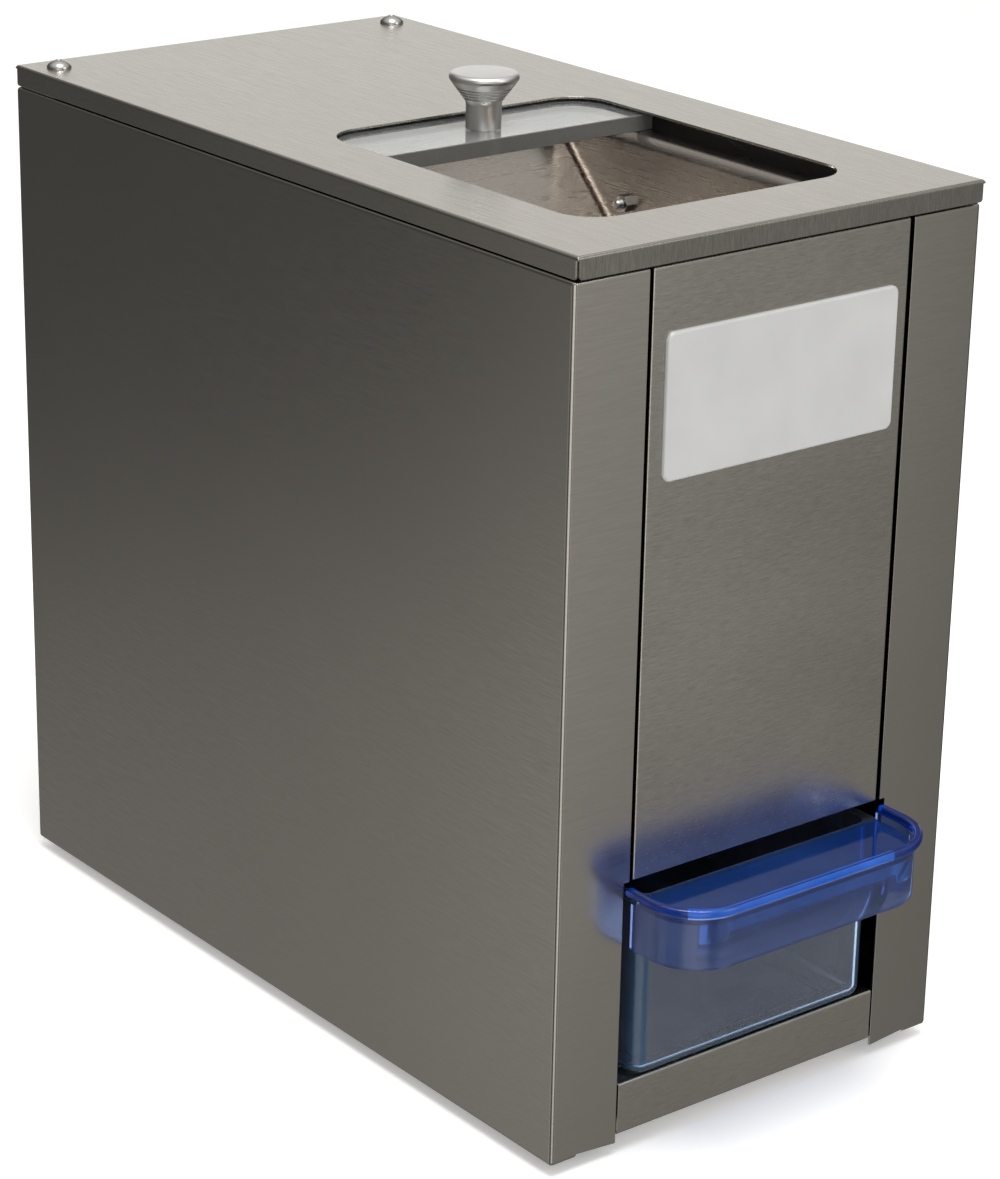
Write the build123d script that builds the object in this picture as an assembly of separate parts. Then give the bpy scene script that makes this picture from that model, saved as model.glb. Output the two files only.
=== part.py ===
from build123d import *
import math
import os

# Countertop ice crusher. Millimetres, +Z up, front towards -Y.
# The pieces are drawn from the middle of the casing, at its lower edge, and the
# whole machine is then set so that the origin is the middle of its overall box
# on the surface that it stands on.

# casing
casing_width = 240.0
casing_depth = 450.0
casing_height = 419.8
sheet = 1.2
bend = 2.0
half_w = casing_width / 2
half_d = casing_depth / 2
seam = 2.2
front_panel_half = 76.0
flange_return = 15.0

# drawer opening in the front
bay_half = 80.5
bay_bottom = 30.5
bay_top = 133.0
plinth_seam = 1.0
plinth_bottom = 4.0

# sliding cover and the pan above the casing
cover_top = 431.0
cover_lip = 10.4
cover_overhang = 2.0
opening_half = 80.0
opening_front = -183.0
opening_back = 14.0
opening_radius = 20.0
plate_thickness = 8.0
plate_top = 428.5
plate_half = 88.0
plate_front = -31.5
plate_travel = 156.5
rail_inner = 82.0
rail_outer = 96.0
rail_back = 205.0
rail_front = -200.0
rail_bottom = 418.8
groove_outer = 88.7
groove_play = 0.3
knob_y = -9.0
cover_screw_x = 105.0
cover_screw_y = 207.0

# hopper, crushing chamber and chute
hopper_half = 76.0
hopper_sheet = 1.5
hopper_bend = 5.0
hopper_front = -186.0
slope_back = 50.0
slope_offset = 389.1
chamber_back = -60.0
chamber_bottom = 222.0
chute_bottom = 136.0
hopper_bolt_z = 385.0
hopper_bolt_y = (-30.0, -150.0)

# frame that carries the crusher and the drive
frame_inner = 77.5
frame_sheet = 3.0
frame_outer = frame_inner + frame_sheet
frame_front = -200.0
frame_back = 90.0
floor_top = 2.7
floor_bottom = 1.2

# crushing rotor
rotor_y = -112.0
rotor_z = 262.0
knife_radius = 42.0
knife_thickness = 6.0
knife_pitch = 19.0
knife_count = 8
shaft_radius = 10.0
journal_radius = 8.5
running_gap = 0.05

# gears: modules, teeth and places of the shafts
slow_module = 2.0
rotor_teeth = 64
idler_pinion_teeth = 16
fast_module = 1.5
idler_gear_teeth = 70
motor_pinion_teeth = 14
pressure_angle = math.radians(25)
backlash = 0.16
idler_y = rotor_y + slow_module * (rotor_teeth + idler_pinion_teeth) / 2
idler_z = rotor_z
fast_distance = fast_module * (idler_gear_teeth + motor_pinion_teeth) / 2
motor_angle = math.radians(-23)
motor_y = idler_y + fast_distance * math.cos(motor_angle)
motor_z = idler_z + fast_distance * math.sin(motor_angle)
idler_radius = 6.0
motor_shaft_radius = 7.0
motor_radius = 52.0
motor_screw_circle = 50.0

# ice drawer
bin_half = 73.5
bin_front = -227.5
bin_back = -42.0
bin_bottom = 31.2
bin_top = 124.0
bin_wall = 2.5
grip_half = 81.0
grip_front = -269.5
grip_radius = 30.0
grip_back = -226.0
bead_bottom = 126.5
bead_top = 130.5
skirt_bottom = 99.5
skirt_inset = 3.3

# feet and electrical parts
foot_height = 6.0
foot_x = 92.0
foot_y = 190.0
gland_x = -70.0
gland_z = 45.0
rocker_x = 70.0
rocker_y = 221.0
rocker_z = 60.0
rocker_tilt = 8.0
rocker_pivot = 1.2
gland_back = 240.0

# from the casing's middle to the middle of the overall box
frame_shift = -(grip_front + gland_back) / 2


def block(x0, x1, y0, y1, z0, z1):
    """Box between two corners."""
    return Pos((x0 + x1) / 2, (y0 + y1) / 2, (z0 + z1) / 2) * Box(x1 - x0, y1 - y0, z1 - z0)


def rod_x(radius, x0, x1, y, z):
    return Pos((x0 + x1) / 2, y, z) * Rot(0, 90, 0) * Cylinder(radius, x1 - x0)


def rod_y(radius, y0, y1, x, z):
    return Pos(x, (y0 + y1) / 2, z) * Rot(90, 0, 0) * Cylinder(radius, y1 - y0)


def rod_z(radius, z0, z1, x, y):
    return Pos(x, y, (z0 + z1) / 2) * Cylinder(radius, z1 - z0)


def side_profile(points, x0, x1):
    """Outline in the YZ plane, extruded along X."""
    face = Plane.YZ * make_face(Polyline(*points, close=True))
    return Pos(x0, 0, 0) * extrude(face, x1 - x0)


def hex_x(across, x0, x1, y, z):
    face = Plane.YZ * RegularPolygon(across / 2, 6, major_radius=False)
    return Pos(x0, y, z) * extrude(face, x1 - x0)


def hex_y(across, y0, y1, x, z):
    face = Plane.XZ * RegularPolygon(across / 2, 6, major_radius=False)
    return Pos(x, y1, z) * extrude(face, y1 - y0)


def mirrored(shape):
    return mirror(shape, about=Plane.YZ)


def group(solids):
    """Separate solids kept in one node."""
    return Compound([solid for shape in solids for solid in shape.solids()])


def both_sides(shape):
    """A left piece and its right twin."""
    return group([shape, mirrored(shape)])


# casing sheets

def front_top_corner():
    """Waste outside the rounded fold along the top of the front."""
    corner = block(-half_w - 1, half_w + 1, -half_d - 1, -half_d + bend, casing_height - bend, casing_height + 1)
    return corner - rod_x(bend, -half_w - 2, half_w + 2, -half_d + bend, casing_height - bend)


def side_panel():
    """Left side sheet, folded round at the front, back, top and bottom."""
    flange_end = -(front_panel_half + seam)
    low_flange_end = -(bay_half + plinth_seam)
    inner_end = -half_w + flange_return
    panel = block(-half_w, flange_end, -half_d, half_d, 0, casing_height)
    panel -= block(-half_w + sheet, 0, -half_d + sheet, half_d - sheet, -1, casing_height + 1)
    panel -= block(-100, 0, 200, half_d + 1, -1, casing_height + 1)
    panel -= block(low_flange_end, 0, -half_d - 1, -200, -1, bay_top)
    corners = panel.edges().filter_by(Axis.Z).group_by(Axis.X)[0]
    panel = fillet(corners, bend)
    panel += block(-half_w + 0.5, inner_end, -222, 222, 0, sheet)
    panel += block(-half_w + 0.5, inner_end, -222, 222, casing_height - sheet, casing_height)
    panel += block(-half_w + bend, flange_end, -half_d + 0.5, -215, casing_height - sheet, casing_height)
    side_corner = block(-half_w - 1, -half_w + bend, -230, 230, casing_height - bend, casing_height + 1)
    panel -= side_corner - rod_y(bend, -231, 231, -half_w + bend, casing_height - bend)
    panel -= front_top_corner()
    panel -= block(-half_w - 1, -half_w + 4, -half_d - 1, -222, -1, 2.2)
    for z in (20, 209, 398):
        panel -= rod_y(2.1, 220, 230, -108, z)
    return panel


def rear_panel():
    """Back sheet with rows of cooling slots, behind the side panels' flanges."""
    panel = block(-116, 116, half_d - sheet - 1.4, half_d - sheet, 3, 415)
    slot = Rot(90, 0, 0) * extrude(SlotOverall(44, 4), 6, both=True)
    for row in range(9):
        for column in (-58, 0, 58):
            panel -= Pos(column, half_d - 2, 250 + 14 * row) * slot
    for x in (-108, 108):
        for z in (20, 209, 398):
            panel -= rod_y(2.1, 220, 230, x, z)
    panel -= rod_y(8.2, 215, 230, gland_x, gland_z)
    panel -= block(rocker_x - 10.7, rocker_x + 10.7, 215, 230, rocker_z - 15, rocker_z + 15)
    return panel


def floor_plate():
    """Bottom sheet on the side panels' flanges, slotted under the motor."""
    plate = block(-118, 118, -211, 221, floor_bottom, floor_top)
    slot = extrude(SlotOverall(60, 5), 6, both=True)
    for row in range(6):
        plate -= Pos(0, 40 + 16 * row, floor_top) * slot
    for x in (-foot_x, foot_x):
        for y in (-foot_y, foot_y):
            plate -= rod_z(2.6, -1, 6, x, y)
        for y in (-150, 60):
            plate -= rod_z(2.6, -1, 6, x, y)
    return plate


def front_panel():
    """Front sheet above the drawer, folded back on all four sides."""
    edge = front_panel_half
    panel = block(-edge, edge, -half_d, -210, bay_top, casing_height)
    panel -= block(-edge + sheet, edge - sheet, -half_d + sheet, -209, bay_top - 1, casing_height + 1)
    corners = panel.edges().filter_by(Axis.Z).group_by(Axis.Y)[0]
    panel = fillet(corners, 0.8)
    for z in (bay_top, casing_height - sheet):
        panel += block(-edge + 0.6, edge - 0.6, -half_d + 0.6, -216, z, z + sheet)
    return panel - front_top_corner()


def plinth_panel():
    """Low front sheet under the drawer, folded back above and below."""
    panel = block(-bay_half, bay_half, -half_d, -212, plinth_bottom, bay_bottom)
    panel -= block(-bay_half - 1, bay_half + 1, -half_d + sheet, 0, plinth_bottom + sheet, bay_bottom - sheet)
    folds = panel.edges().filter_by(Axis.X).group_by(Axis.Y)[0]
    return fillet(folds, 1.0)


def top_cover():
    """Folded pan that closes the casing, with the filling opening cut in it."""
    low = cover_top - cover_lip
    front = -half_d - cover_overhang
    pan = block(-half_w, half_w, front, half_d, low, cover_top)
    rim = pan.faces().sort_by(Axis.Z)[-1].edges()
    pan = fillet(rim, 1.7)
    pan -= block(-half_w + sheet, half_w - sheet, front + sheet, half_d - sheet, low - 1, cover_top - sheet)
    for x in (-half_w, half_w):
        for y in (front, half_d):
            turn = 45 if x * y > 0 else -45
            pan -= Pos(x, y, low) * Rot(0, 0, turn) * Box(8, 0.5, 2 * cover_lip - 3.6)
            pan -= Pos(x, y, low) * Rot(0, 45, 0) * Box(2.6, 6, 2.6)
            pan -= Pos(x, y, low) * Rot(45, 0, 0) * Box(6, 2.6, 2.6)
    middle = (opening_front + opening_back) / 2
    window = RectangleRounded(2 * opening_half, opening_back - opening_front, opening_radius)
    pan -= Pos(0, middle, cover_top - 6) * extrude(window, 10)
    for x in (-cover_screw_x, cover_screw_x):
        pan -= rod_z(3.3, cover_top - 5, cover_top + 5, x, cover_screw_y)
    return pan


def cover_screws():
    """Two domed cross-head screws that hold the cover at the back."""
    screws = []
    for x in (-cover_screw_x, cover_screw_x):
        head = rod_z(6.3, cover_top, cover_top + 4.0, x, cover_screw_y)
        head = fillet(head.edges().sort_by(Axis.Z)[-1], 2.6)
        head += rod_z(3.0, cover_top - 8.4, cover_top + 1, x, cover_screw_y)
        for turn in (0, 90):
            head -= Pos(x, cover_screw_y, cover_top + 4) * Rot(0, 0, turn) * Box(6.5, 1.3, 4)
        screws.append(head)
    return group(screws)


def cover_bracket():
    """Left folded stand-off between the side panel's top flange and the cover."""
    x0 = -half_w + sheet + 0.2
    under = cover_top - sheet
    bracket = block(x0, x0 + 2, 190, 222, casing_height, under)
    bracket += block(x0, -104, 190, 222, casing_height, casing_height + 2)
    bracket += block(x0, -97, 190, 222, under - 2, under)
    bracket -= rod_z(3.1, under - 3, under + 1, -cover_screw_x, cover_screw_y)
    return bracket


def rear_panel_screws():
    """Six pan-head screws through the side panels' rear flanges."""
    screws = []
    for x in (-108, 108):
        for z in (20, 209, 398):
            head = rod_y(3.8, half_d, half_d + 2.4, x, z)
            head = fillet(head.edges().group_by(Axis.Y)[-1], 1.4)
            head += rod_y(2.0, half_d - 8, half_d + 1, x, z)
            head -= Pos(x, half_d + 2.4, z) * Box(4.2, 1.8, 1.0)
            head -= Pos(x, half_d + 2.4, z) * Box(1.0, 1.8, 4.2)
            screws.append(head)
    return group(screws)


def front_label():
    """Blank domed plate on the front panel."""
    face = Plane.XZ * RectangleRounded(137, 68, 4)
    plate = Pos(0.5, -half_d, 355.5) * extrude(face, 2.0)
    return fillet(plate.faces().sort_by(Axis.Y)[0].edges(), 1.3)


def rubber_feet():
    """Four short feet, set in from the edges, each with a screw recess."""
    feet = []
    for x in (-foot_x, foot_x):
        for y in (-foot_y, foot_y):
            foot = rod_z(11, -foot_height, floor_bottom, x, y)
            foot = fillet(foot.edges().sort_by(Axis.Z)[0], 1.2)
            foot -= rod_z(5.2, -foot_height - 1, -2.0, x, y)
            foot -= rod_z(2.6, -3, floor_bottom + 1, x, y)
            feet.append(foot)
    return group(feet)


def base_screws():
    """Screws of the feet, from below, and of the frame's feet, from above."""
    screws = []
    for x in (-foot_x, foot_x):
        for y in (-foot_y, foot_y):
            screws.append(rod_z(4.6, -4.6, -2.0, x, y) + rod_z(2.5, -2.5, 9, x, y))
        for y in (-150, 60):
            screws.append(rod_z(4.4, 4.7, 8, x, y) + rod_z(2.5, -0.5, 5, x, y))
    return group(screws)


# sliding cover

def slide_plate():
    """Clear plate that slides in the two rails over the opening."""
    back = opening_back + 3 + plate_travel
    plate = block(-plate_half, plate_half, plate_front, back, plate_top - plate_thickness, plate_top)
    plate = chamfer(plate.edges().filter_by(Axis.X), 0.4)
    plate -= rod_z(2.7, 410, 440, 0, knob_y)
    return plate


def slide_knob():
    """Turned knob: a straight stem that opens out into a flared, grooved head."""
    stem = 8.65
    head = 17.0
    neck = 13.0
    crown = 23.6
    top = 27.3
    curve = Spline((stem, neck), (12.2, 18.2), (head, crown), tangents=((0.25, 1), (0.75, 1)))
    rim = ThreePointArc((head, crown), (head - 0.1, 26.1), (head - 2.6, top))
    outline = Polyline((head - 2.6, top), (0, top), (0, 0), (stem, 0), (stem, neck))
    face = Plane.XZ * make_face([curve, rim, outline])
    knob = revolve(face, Axis.Z)
    for level, reach in ((15.0, 9.4), (16.6, 10.6), (18.2, 12.0), (19.8, 13.4)):
        ring = Pos(0, 0, level) * Cylinder(20, 0.5) - Pos(0, 0, level) * Cylinder(reach - 0.1, 1)
        knob -= ring
    knob -= Pos(0, 0, 5) * Cylinder(2.6, 12)
    return Pos(0, knob_y, plate_top) * knob


def knob_screw():
    """Pan-head screw and washer that hold the knob from under the plate."""
    under = plate_top - plate_thickness
    washer = rod_z(6, under - 1, under, 0, knob_y) - rod_z(2.7, under - 2, under + 1, 0, knob_y)
    screw = rod_z(4.7, under - 4.2, under - 1, 0, knob_y)
    screw = fillet(screw.edges().sort_by(Axis.Z)[0], 1.6)
    screw += rod_z(2.5, under - 2, plate_top + 10, 0, knob_y)
    return group([screw, washer])


def guide_rail():
    """Right channel rail with the groove that the plate slides in."""
    top = cover_top - sheet
    rail = block(rail_inner, rail_outer, rail_front, rail_back, rail_bottom, top)
    low = plate_top - plate_thickness - groove_play
    rail -= block(0, groove_outer, rail_front - 1, rail_back + 1, low, plate_top + groove_play)
    rail = fillet(rail.edges().filter_by(Axis.Y).filter_by(lambda e: e.center().X < rail_inner + 0.1), 0.4)
    for y in (-150, 20, 190):
        rail -= rod_z(1.6, rail_bottom - 1, 425, 92.5, y)
    return rail


def slide_stops():
    """Bar at the back and two blocks at the front, where the plate ends its travel."""
    low = plate_top - plate_thickness - groove_play
    high = plate_top + groove_play
    front = plate_front - plate_travel - groove_play
    bar = block(-groove_outer, groove_outer, 188.5, 198.5, low, high)
    left = block(-groove_outer, -74, front - 10, front, low, high)
    return group([bar, left, mirrored(left)])


def rail_screws():
    """Six small screws from under the hopper's flanges into the rails."""
    screws = []
    for x in (-92.5, 92.5):
        for y in (-150, 20, 190):
            under = rail_bottom - hopper_sheet
            screws.append(rod_z(3, under - 2.2, under, x, y) + rod_z(1.5, under - 1, 424, x, y))
    return group(screws)


# hopper

def hopper_side_wall():
    """Right hopper sheet: an upright wall, its top bent out into a long flange."""
    outer = hopper_half + hopper_sheet
    under = rail_bottom - hopper_sheet
    low = rotor_z + 44
    back = 36.0
    turn = hopper_half + hopper_bend
    start = rail_bottom - hopper_bend
    section = [
        Line((hopper_half, low), (hopper_half, start)),
        RadiusArc((hopper_half, start), (turn, rail_bottom), hopper_bend),
        Polyline((turn, rail_bottom), (97, rail_bottom), (97, under), (turn, under)),
        RadiusArc((turn, under), (outer, start), -(hopper_bend - hopper_sheet)),
        Polyline((outer, start), (outer, low), (hopper_half, low)),
    ]
    wall = Pos(0, back, 0) * extrude(Plane.XZ * make_face(section), back - hopper_front)
    wall -= side_profile(((-62, low), (back, 404), (back + 1, 404), (back + 1, low - 1), (-62, low - 1)), 70, 90)
    wall += block(turn, 97, rail_front, hopper_front, under, rail_bottom)
    wall += block(turn, 97, back, rail_back, under, rail_bottom)
    for y in hopper_bolt_y:
        wall -= rod_x(2.7, 70, 90, y, hopper_bolt_z)
    for y in (-150, 20, 190):
        wall -= rod_z(1.6, 410, 425, 92.5, y)
    return wall


def hopper_front_wall():
    """Front sheet of the hopper and chamber, its top bent forward."""
    half = hopper_half - 0.1
    wall = block(-half, half, hopper_front - hopper_sheet, hopper_front, chamber_bottom, rail_bottom)
    wall += block(-half + 1.5, half - 1.5, -215, hopper_front, rail_bottom - hopper_sheet, rail_bottom)
    lip = wall.edges().filter_by(Axis.X).sort_by(lambda e: -e.center().Y - e.center().Z)[0]
    wall = fillet(lip, 1.4)
    for x in (-60, 60):
        wall -= rod_y(2.7, -190, -180, x, rotor_z)
    return wall


def hopper_slope():
    """Sloping back sheet that leads the ice forward, with turned-down side edges."""
    half = hopper_half - 1.5
    drop = hopper_sheet * math.sqrt(2)
    turn = chamber_back + slope_offset
    back_turn = rail_bottom - slope_offset
    points = (
        (slope_back, rail_bottom),
        (back_turn, rail_bottom),
        (chamber_back, turn),
        (chamber_back, chamber_bottom),
        (chamber_back + hopper_sheet, chamber_bottom),
        (chamber_back + hopper_sheet, turn + hopper_sheet - drop),
        (back_turn + drop - hopper_sheet, rail_bottom - hopper_sheet),
        (slope_back, rail_bottom - hopper_sheet),
    )
    slope = side_profile(points, -half, half)
    fold = 6.0
    edge = (
        (back_turn - 2, rail_bottom - 2),
        (chamber_back + 2, turn + 2),
        (chamber_back + 2 + fold, turn + 2 - fold),
        (back_turn - 2 + fold, rail_bottom - 2 - fold),
    )
    slope += side_profile(edge, half - hopper_sheet, half)
    slope += side_profile(edge, -half, -half + hopper_sheet)
    return slope


def hopper_bolts():
    """Four bolts that join the hopper walls to the frame plates."""
    bolts = []
    for y in hopper_bolt_y:
        bolt = rod_x(2.5, hopper_half - 9.5, frame_outer + 1, y, hopper_bolt_z)
        bolt += hex_x(8, frame_outer, frame_outer + 3.5, y, hopper_bolt_z)
        bolts += [bolt, mirrored(bolt)]
    return group(bolts)


def hopper_nuts():
    """The bolts' washers and nuts, inside the hopper."""
    pieces = []
    for y in hopper_bolt_y:
        hole = rod_x(2.6, 60, 90, y, hopper_bolt_z)
        washer = rod_x(6, hopper_half - 1.1, hopper_half, y, hopper_bolt_z) - hole
        nut = hex_x(8, hopper_half - 5.3, hopper_half - 1.1, y, hopper_bolt_z)
        nut = chamfer(nut.faces().sort_by(Axis.X)[0].edges(), 0.5) - hole
        pieces += [washer, nut, mirrored(washer), mirrored(nut)]
    return group(pieces)


def discharge_chute():
    """Tapered duct from the chamber down to the drawer."""
    depth = chamber_back + hopper_sheet - (hopper_front - hopper_sheet)
    middle = (chamber_back + hopper_front) / 2

    def taper(inset):
        upper = Pos(0, middle, chamber_bottom) * Rectangle(2 * (77.2 - inset), depth - 2 * inset)
        lower = Pos(0, middle - 12, chute_bottom) * Rectangle(2 * (66 - inset), 112 - 2 * inset)
        return loft([upper.face(), lower.face()], ruled=True)

    return taper(0) - taper(hopper_sheet)


# frame

def frame_plate():
    """Left upright plate with a foot, which carries the hopper and the rotor."""
    top = rail_bottom - hopper_bend - 0.5
    plate = block(-frame_outer, -frame_inner, frame_front, frame_back, floor_top, top)
    plate += block(-102, -frame_inner, -172, 80, floor_top, floor_top + 2)
    plate -= rod_x(14, -90, -70, rotor_y, rotor_z)
    for y in hopper_bolt_y:
        plate -= rod_x(2.7, -90, -70, y, hopper_bolt_z)
    for y in (-26, 26):
        for z in (-26, 26):
            plate -= rod_x(2.6, -90, -70, rotor_y + y, rotor_z + z)
    for y in (-150, 60):
        plate -= rod_z(2.6, 0, 10, -foot_x, y)
    return plate


def drive_frame_plate():
    """Right upright plate, also bored for the motor and the idler shaft."""
    plate = mirrored(frame_plate())
    plate -= rod_x(20, 70, 90, motor_y, motor_z)
    plate -= rod_x(idler_radius + running_gap, 70, 90, idler_y, idler_z)
    for y, z in motor_screw_places():
        plate -= rod_x(3.2, 70, 90, y, z)
    for y, z in gearbox_lugs():
        plate -= rod_x(2.2, 70, 90, y, z)
    return plate


def drawer_shelf():
    """Folded tray between the frame plates, on which the drawer slides."""
    half = frame_inner - 0.1
    shelf = block(-half, half, -211.9, -36, bay_bottom - 1.5, bay_bottom)
    for x in (-half, half - sheet):
        shelf += block(x, x + sheet, frame_front, -36, bay_bottom - 1.5, 60)
    shelf += block(-half, half, -36 - sheet, -36, bay_bottom - 1.5, 60)
    return shelf


# crushing rotor

def knife_places():
    first = -knife_pitch * (knife_count - 1) / 2
    return [first + knife_pitch * i for i in range(knife_count)]


def rotor_shaft():
    shaft = rod_x(shaft_radius, -75, 75, rotor_y, rotor_z)
    shaft += rod_x(journal_radius, -97, 103.5, rotor_y, rotor_z)
    return chamfer(shaft.faces().sort_by(Axis.X)[-1].edges(), 0.8)


def knife_blank():
    """Star of four hooked teeth in the YZ plane."""
    hub = 24.0
    points = []
    for tooth in range(4):
        base = 90 * tooth
        for angle, radius in ((0, hub), (12, knife_radius), (30, knife_radius - 2), (62, hub + 2)):
            a = math.radians(base + angle)
            points.append((radius * math.cos(a), radius * math.sin(a)))
    face = Plane.YZ * make_face(Polyline(*points, close=True))
    blank = extrude(face, knife_thickness / 2, both=True)
    return blank - Rot(0, 90, 0) * Cylinder(shaft_radius + running_gap, 20)


def rotor_knives():
    """Hooked crushing discs, each turned a little on from the one before."""
    blank = knife_blank()
    knives = []
    for index, x in enumerate(knife_places()):
        knives.append(Pos(x, rotor_y, rotor_z) * Rot(22.5 * index, 0, 0) * blank)
    return group(knives)


def rotor_spacers():
    """Rings between the knives."""
    rings = []
    bore = rod_x(shaft_radius + running_gap, -90, 90, rotor_y, rotor_z)
    for x in knife_places()[:-1]:
        start = x + knife_thickness / 2
        rings.append(rod_x(17, start, start + knife_pitch - knife_thickness, rotor_y, rotor_z) - bore)
    return group(rings)


def stator_comb():
    """Fixed comb on the chamber's front wall, its bars between the knives."""
    comb = block(-75.5, 75.5, hopper_front, hopper_front + 8, rotor_z - 12, rotor_z + 12)
    for x in knife_places()[:-1]:
        middle = x + knife_pitch / 2
        comb += block(middle - 4, middle + 4, hopper_front, rotor_y - 21, rotor_z - 5, rotor_z + 5)
    for x in (-60, 60):
        comb -= rod_y(2.7, hopper_front - 1, hopper_front + 9, x, rotor_z + 8.5)
    return comb


def bearing_housing():
    """Left flange block on the frame plate."""
    face = Plane.YZ * RectangleRounded(68, 68, 9)
    housing = Pos(-frame_outer - 12, rotor_y, rotor_z) * extrude(face, 12)
    housing -= rod_x(17.5, -95, -frame_outer - 1, rotor_y, rotor_z)
    housing -= rod_x(14, -95, -70, rotor_y, rotor_z)
    for y in (-26, 26):
        for z in (-26, 26):
            housing -= rod_x(2.6, -95, -70, rotor_y + y, rotor_z + z)
            housing -= rod_x(4.4, -95, -frame_outer - 7.2, rotor_y + y, rotor_z + z)
    return housing


def bearing():
    """Left ball bearing as one ring, with grooves that show its two races."""
    start = -frame_outer - 11
    ring = rod_x(17.5, start, start + 10, rotor_y, rotor_z)
    groove = rod_x(14.5, start - 1, start + 1, rotor_y, rotor_z)
    groove -= rod_x(11.2, start - 2, start + 2, rotor_y, rotor_z)
    ring -= groove
    return ring - rod_x(journal_radius + running_gap, -100, -70, rotor_y, rotor_z)


def bearing_screws():
    """Eight socket-head screws through the bearing blocks."""
    screws = []
    for y in (-26, 26):
        for z in (-26, 26):
            face = -frame_outer - 11.7
            screw = rod_x(4.2, face, face + 4.5, rotor_y + y, rotor_z + z)
            screw += rod_x(2.5, face + 4, -frame_inner, rotor_y + y, rotor_z + z)
            screw -= rod_x(2.1, face - 1, face + 2, rotor_y + y, rotor_z + z)
            screws += [screw, mirrored(screw)]
    return group(screws)


# gears

def involute(angle):
    return math.tan(angle) - angle


def gear(module, teeth, x0, x1, y, z, bore, toward):
    """Spur gear about X; a tooth or, for a negative toward, a gap faces that way."""
    pitch = module * teeth / 2
    base = pitch * math.cos(pressure_angle)
    tip = pitch + 0.9 * module
    root = pitch - 1.2 * module
    half = math.pi / (2 * teeth) - backlash / (2 * pitch)

    def half_angle(radius):
        if radius <= base:
            return half + involute(pressure_angle)
        return half + involute(pressure_angle) - involute(math.acos(base / radius))

    levels = (root, max(base, root + 0.1), pitch, tip)
    points = []
    for tooth in range(teeth):
        middle = toward + 2 * math.pi * tooth / teeth
        for radius in levels:
            points.append((radius, middle - half_angle(radius)))
        for radius in reversed(levels):
            points.append((radius, middle + half_angle(radius)))
    corners = [(r * math.cos(a), r * math.sin(a)) for r, a in points]
    face = Plane.YZ * make_face(Polyline(*corners, close=True))
    wheel = Pos(x0, y, z) * extrude(face, x1 - x0)
    return wheel - rod_x(bore + running_gap, x0 - 1, x1 + 1, y, z)


def gap_facing(angle, teeth):
    """Where a tooth stands when a gap between teeth faces the angle."""
    return angle + math.pi / teeth


def rotor_gear():
    wheel = gear(slow_module, rotor_teeth, 94, 102, rotor_y, rotor_z, journal_radius, 0.0)
    wheel -= rod_x(52, 99, 103, rotor_y, rotor_z) - rod_x(20, 90, 110, rotor_y, rotor_z)
    for turn in range(6):
        a = math.radians(60 * turn + 30)
        wheel -= rod_x(9, 90, 110, rotor_y + 36 * math.cos(a), rotor_z + 36 * math.sin(a))
    return wheel


def idler_pinion():
    phase = gap_facing(math.pi, idler_pinion_teeth)
    return gear(slow_module, idler_pinion_teeth, 93.5, 102.5, idler_y, idler_z, idler_radius, phase)


def idler_gear():
    wheel = gear(fast_module, idler_gear_teeth, 104.5, 110.5, idler_y, idler_z, idler_radius, motor_angle)
    for turn in range(6):
        a = math.radians(60 * turn)
        wheel -= rod_x(8, 100, 115, idler_y + 30 * math.cos(a), idler_z + 30 * math.sin(a))
    return wheel


def idler_shaft():
    shaft = rod_x(idler_radius, 78, 113.5, idler_y, idler_z)
    return chamfer(shaft.edges(), 0.5)


def motor_pinion():
    phase = gap_facing(motor_angle + math.pi, motor_pinion_teeth)
    return gear(fast_module, motor_pinion_teeth, 104, 111, motor_y, motor_z, motor_shaft_radius - 1, phase)


def gearbox_lugs():
    """Places of the gearbox cover's screws."""
    return (
        (rotor_y - 54, rotor_z + 54),
        (rotor_y - 54, rotor_z - 54),
        (idler_y, idler_z + 66),
        (idler_y - 40, idler_z - 73),
        (motor_y + 27, motor_z),
    )


def gearbox_outline(inset, x0, x1):
    """Smooth outline round the three shafts, extruded along X."""
    rings = []
    for y, z, radius in ((rotor_y, rotor_z, 72), (idler_y, idler_z, 60), (motor_y, motor_z, 23)):
        rings.append(Pos(y, z) * Circle(radius - inset))
    hull = make_hull([edge for ring in rings for edge in ring.edges()])
    return Pos(x0, 0, 0) * extrude(Plane.YZ * hull, x1 - x0)


def gearbox_cover():
    """Deep cover over the gears, screwed to the right frame plate."""
    cover = gearbox_outline(0, frame_outer, 115.5)
    for y, z in gearbox_lugs():
        cover += rod_x(7.5, frame_outer, frame_outer + 6, y, z)
    cover -= gearbox_outline(3, frame_outer - 1, 112.5)
    cover += rod_x(10, 111, 113, idler_y, idler_z)
    cover -= rod_x(idler_radius + running_gap, 110, 114.2, idler_y, idler_z)
    for y, z in gearbox_lugs():
        cover -= rod_x(2.2, 70, frame_outer + 10, y, z)
    return cover


def gearbox_screws():
    screws = []
    for y, z in gearbox_lugs():
        start = frame_outer + 6
        screws.append(rod_x(2, frame_inner, start + 1, y, z) + rod_x(3.8, start, start + 3, y, z))
    return group(screws)


# motor

def motor_screw_places():
    places = []
    for angle in (30, 120, 210, 300):
        a = math.radians(angle)
        y = motor_y + motor_screw_circle * math.cos(a)
        z = motor_z + motor_screw_circle * math.sin(a)
        places.append((y, z))
    return places


def motor_screws():
    """Four screws from the gear side into the motor's flange."""
    screws = []
    for y, z in motor_screw_places():
        screws.append(rod_x(3, 66, frame_outer + 1, y, z) + rod_x(4, frame_outer, frame_outer + 4, y, z))
    return group(screws)


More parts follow.
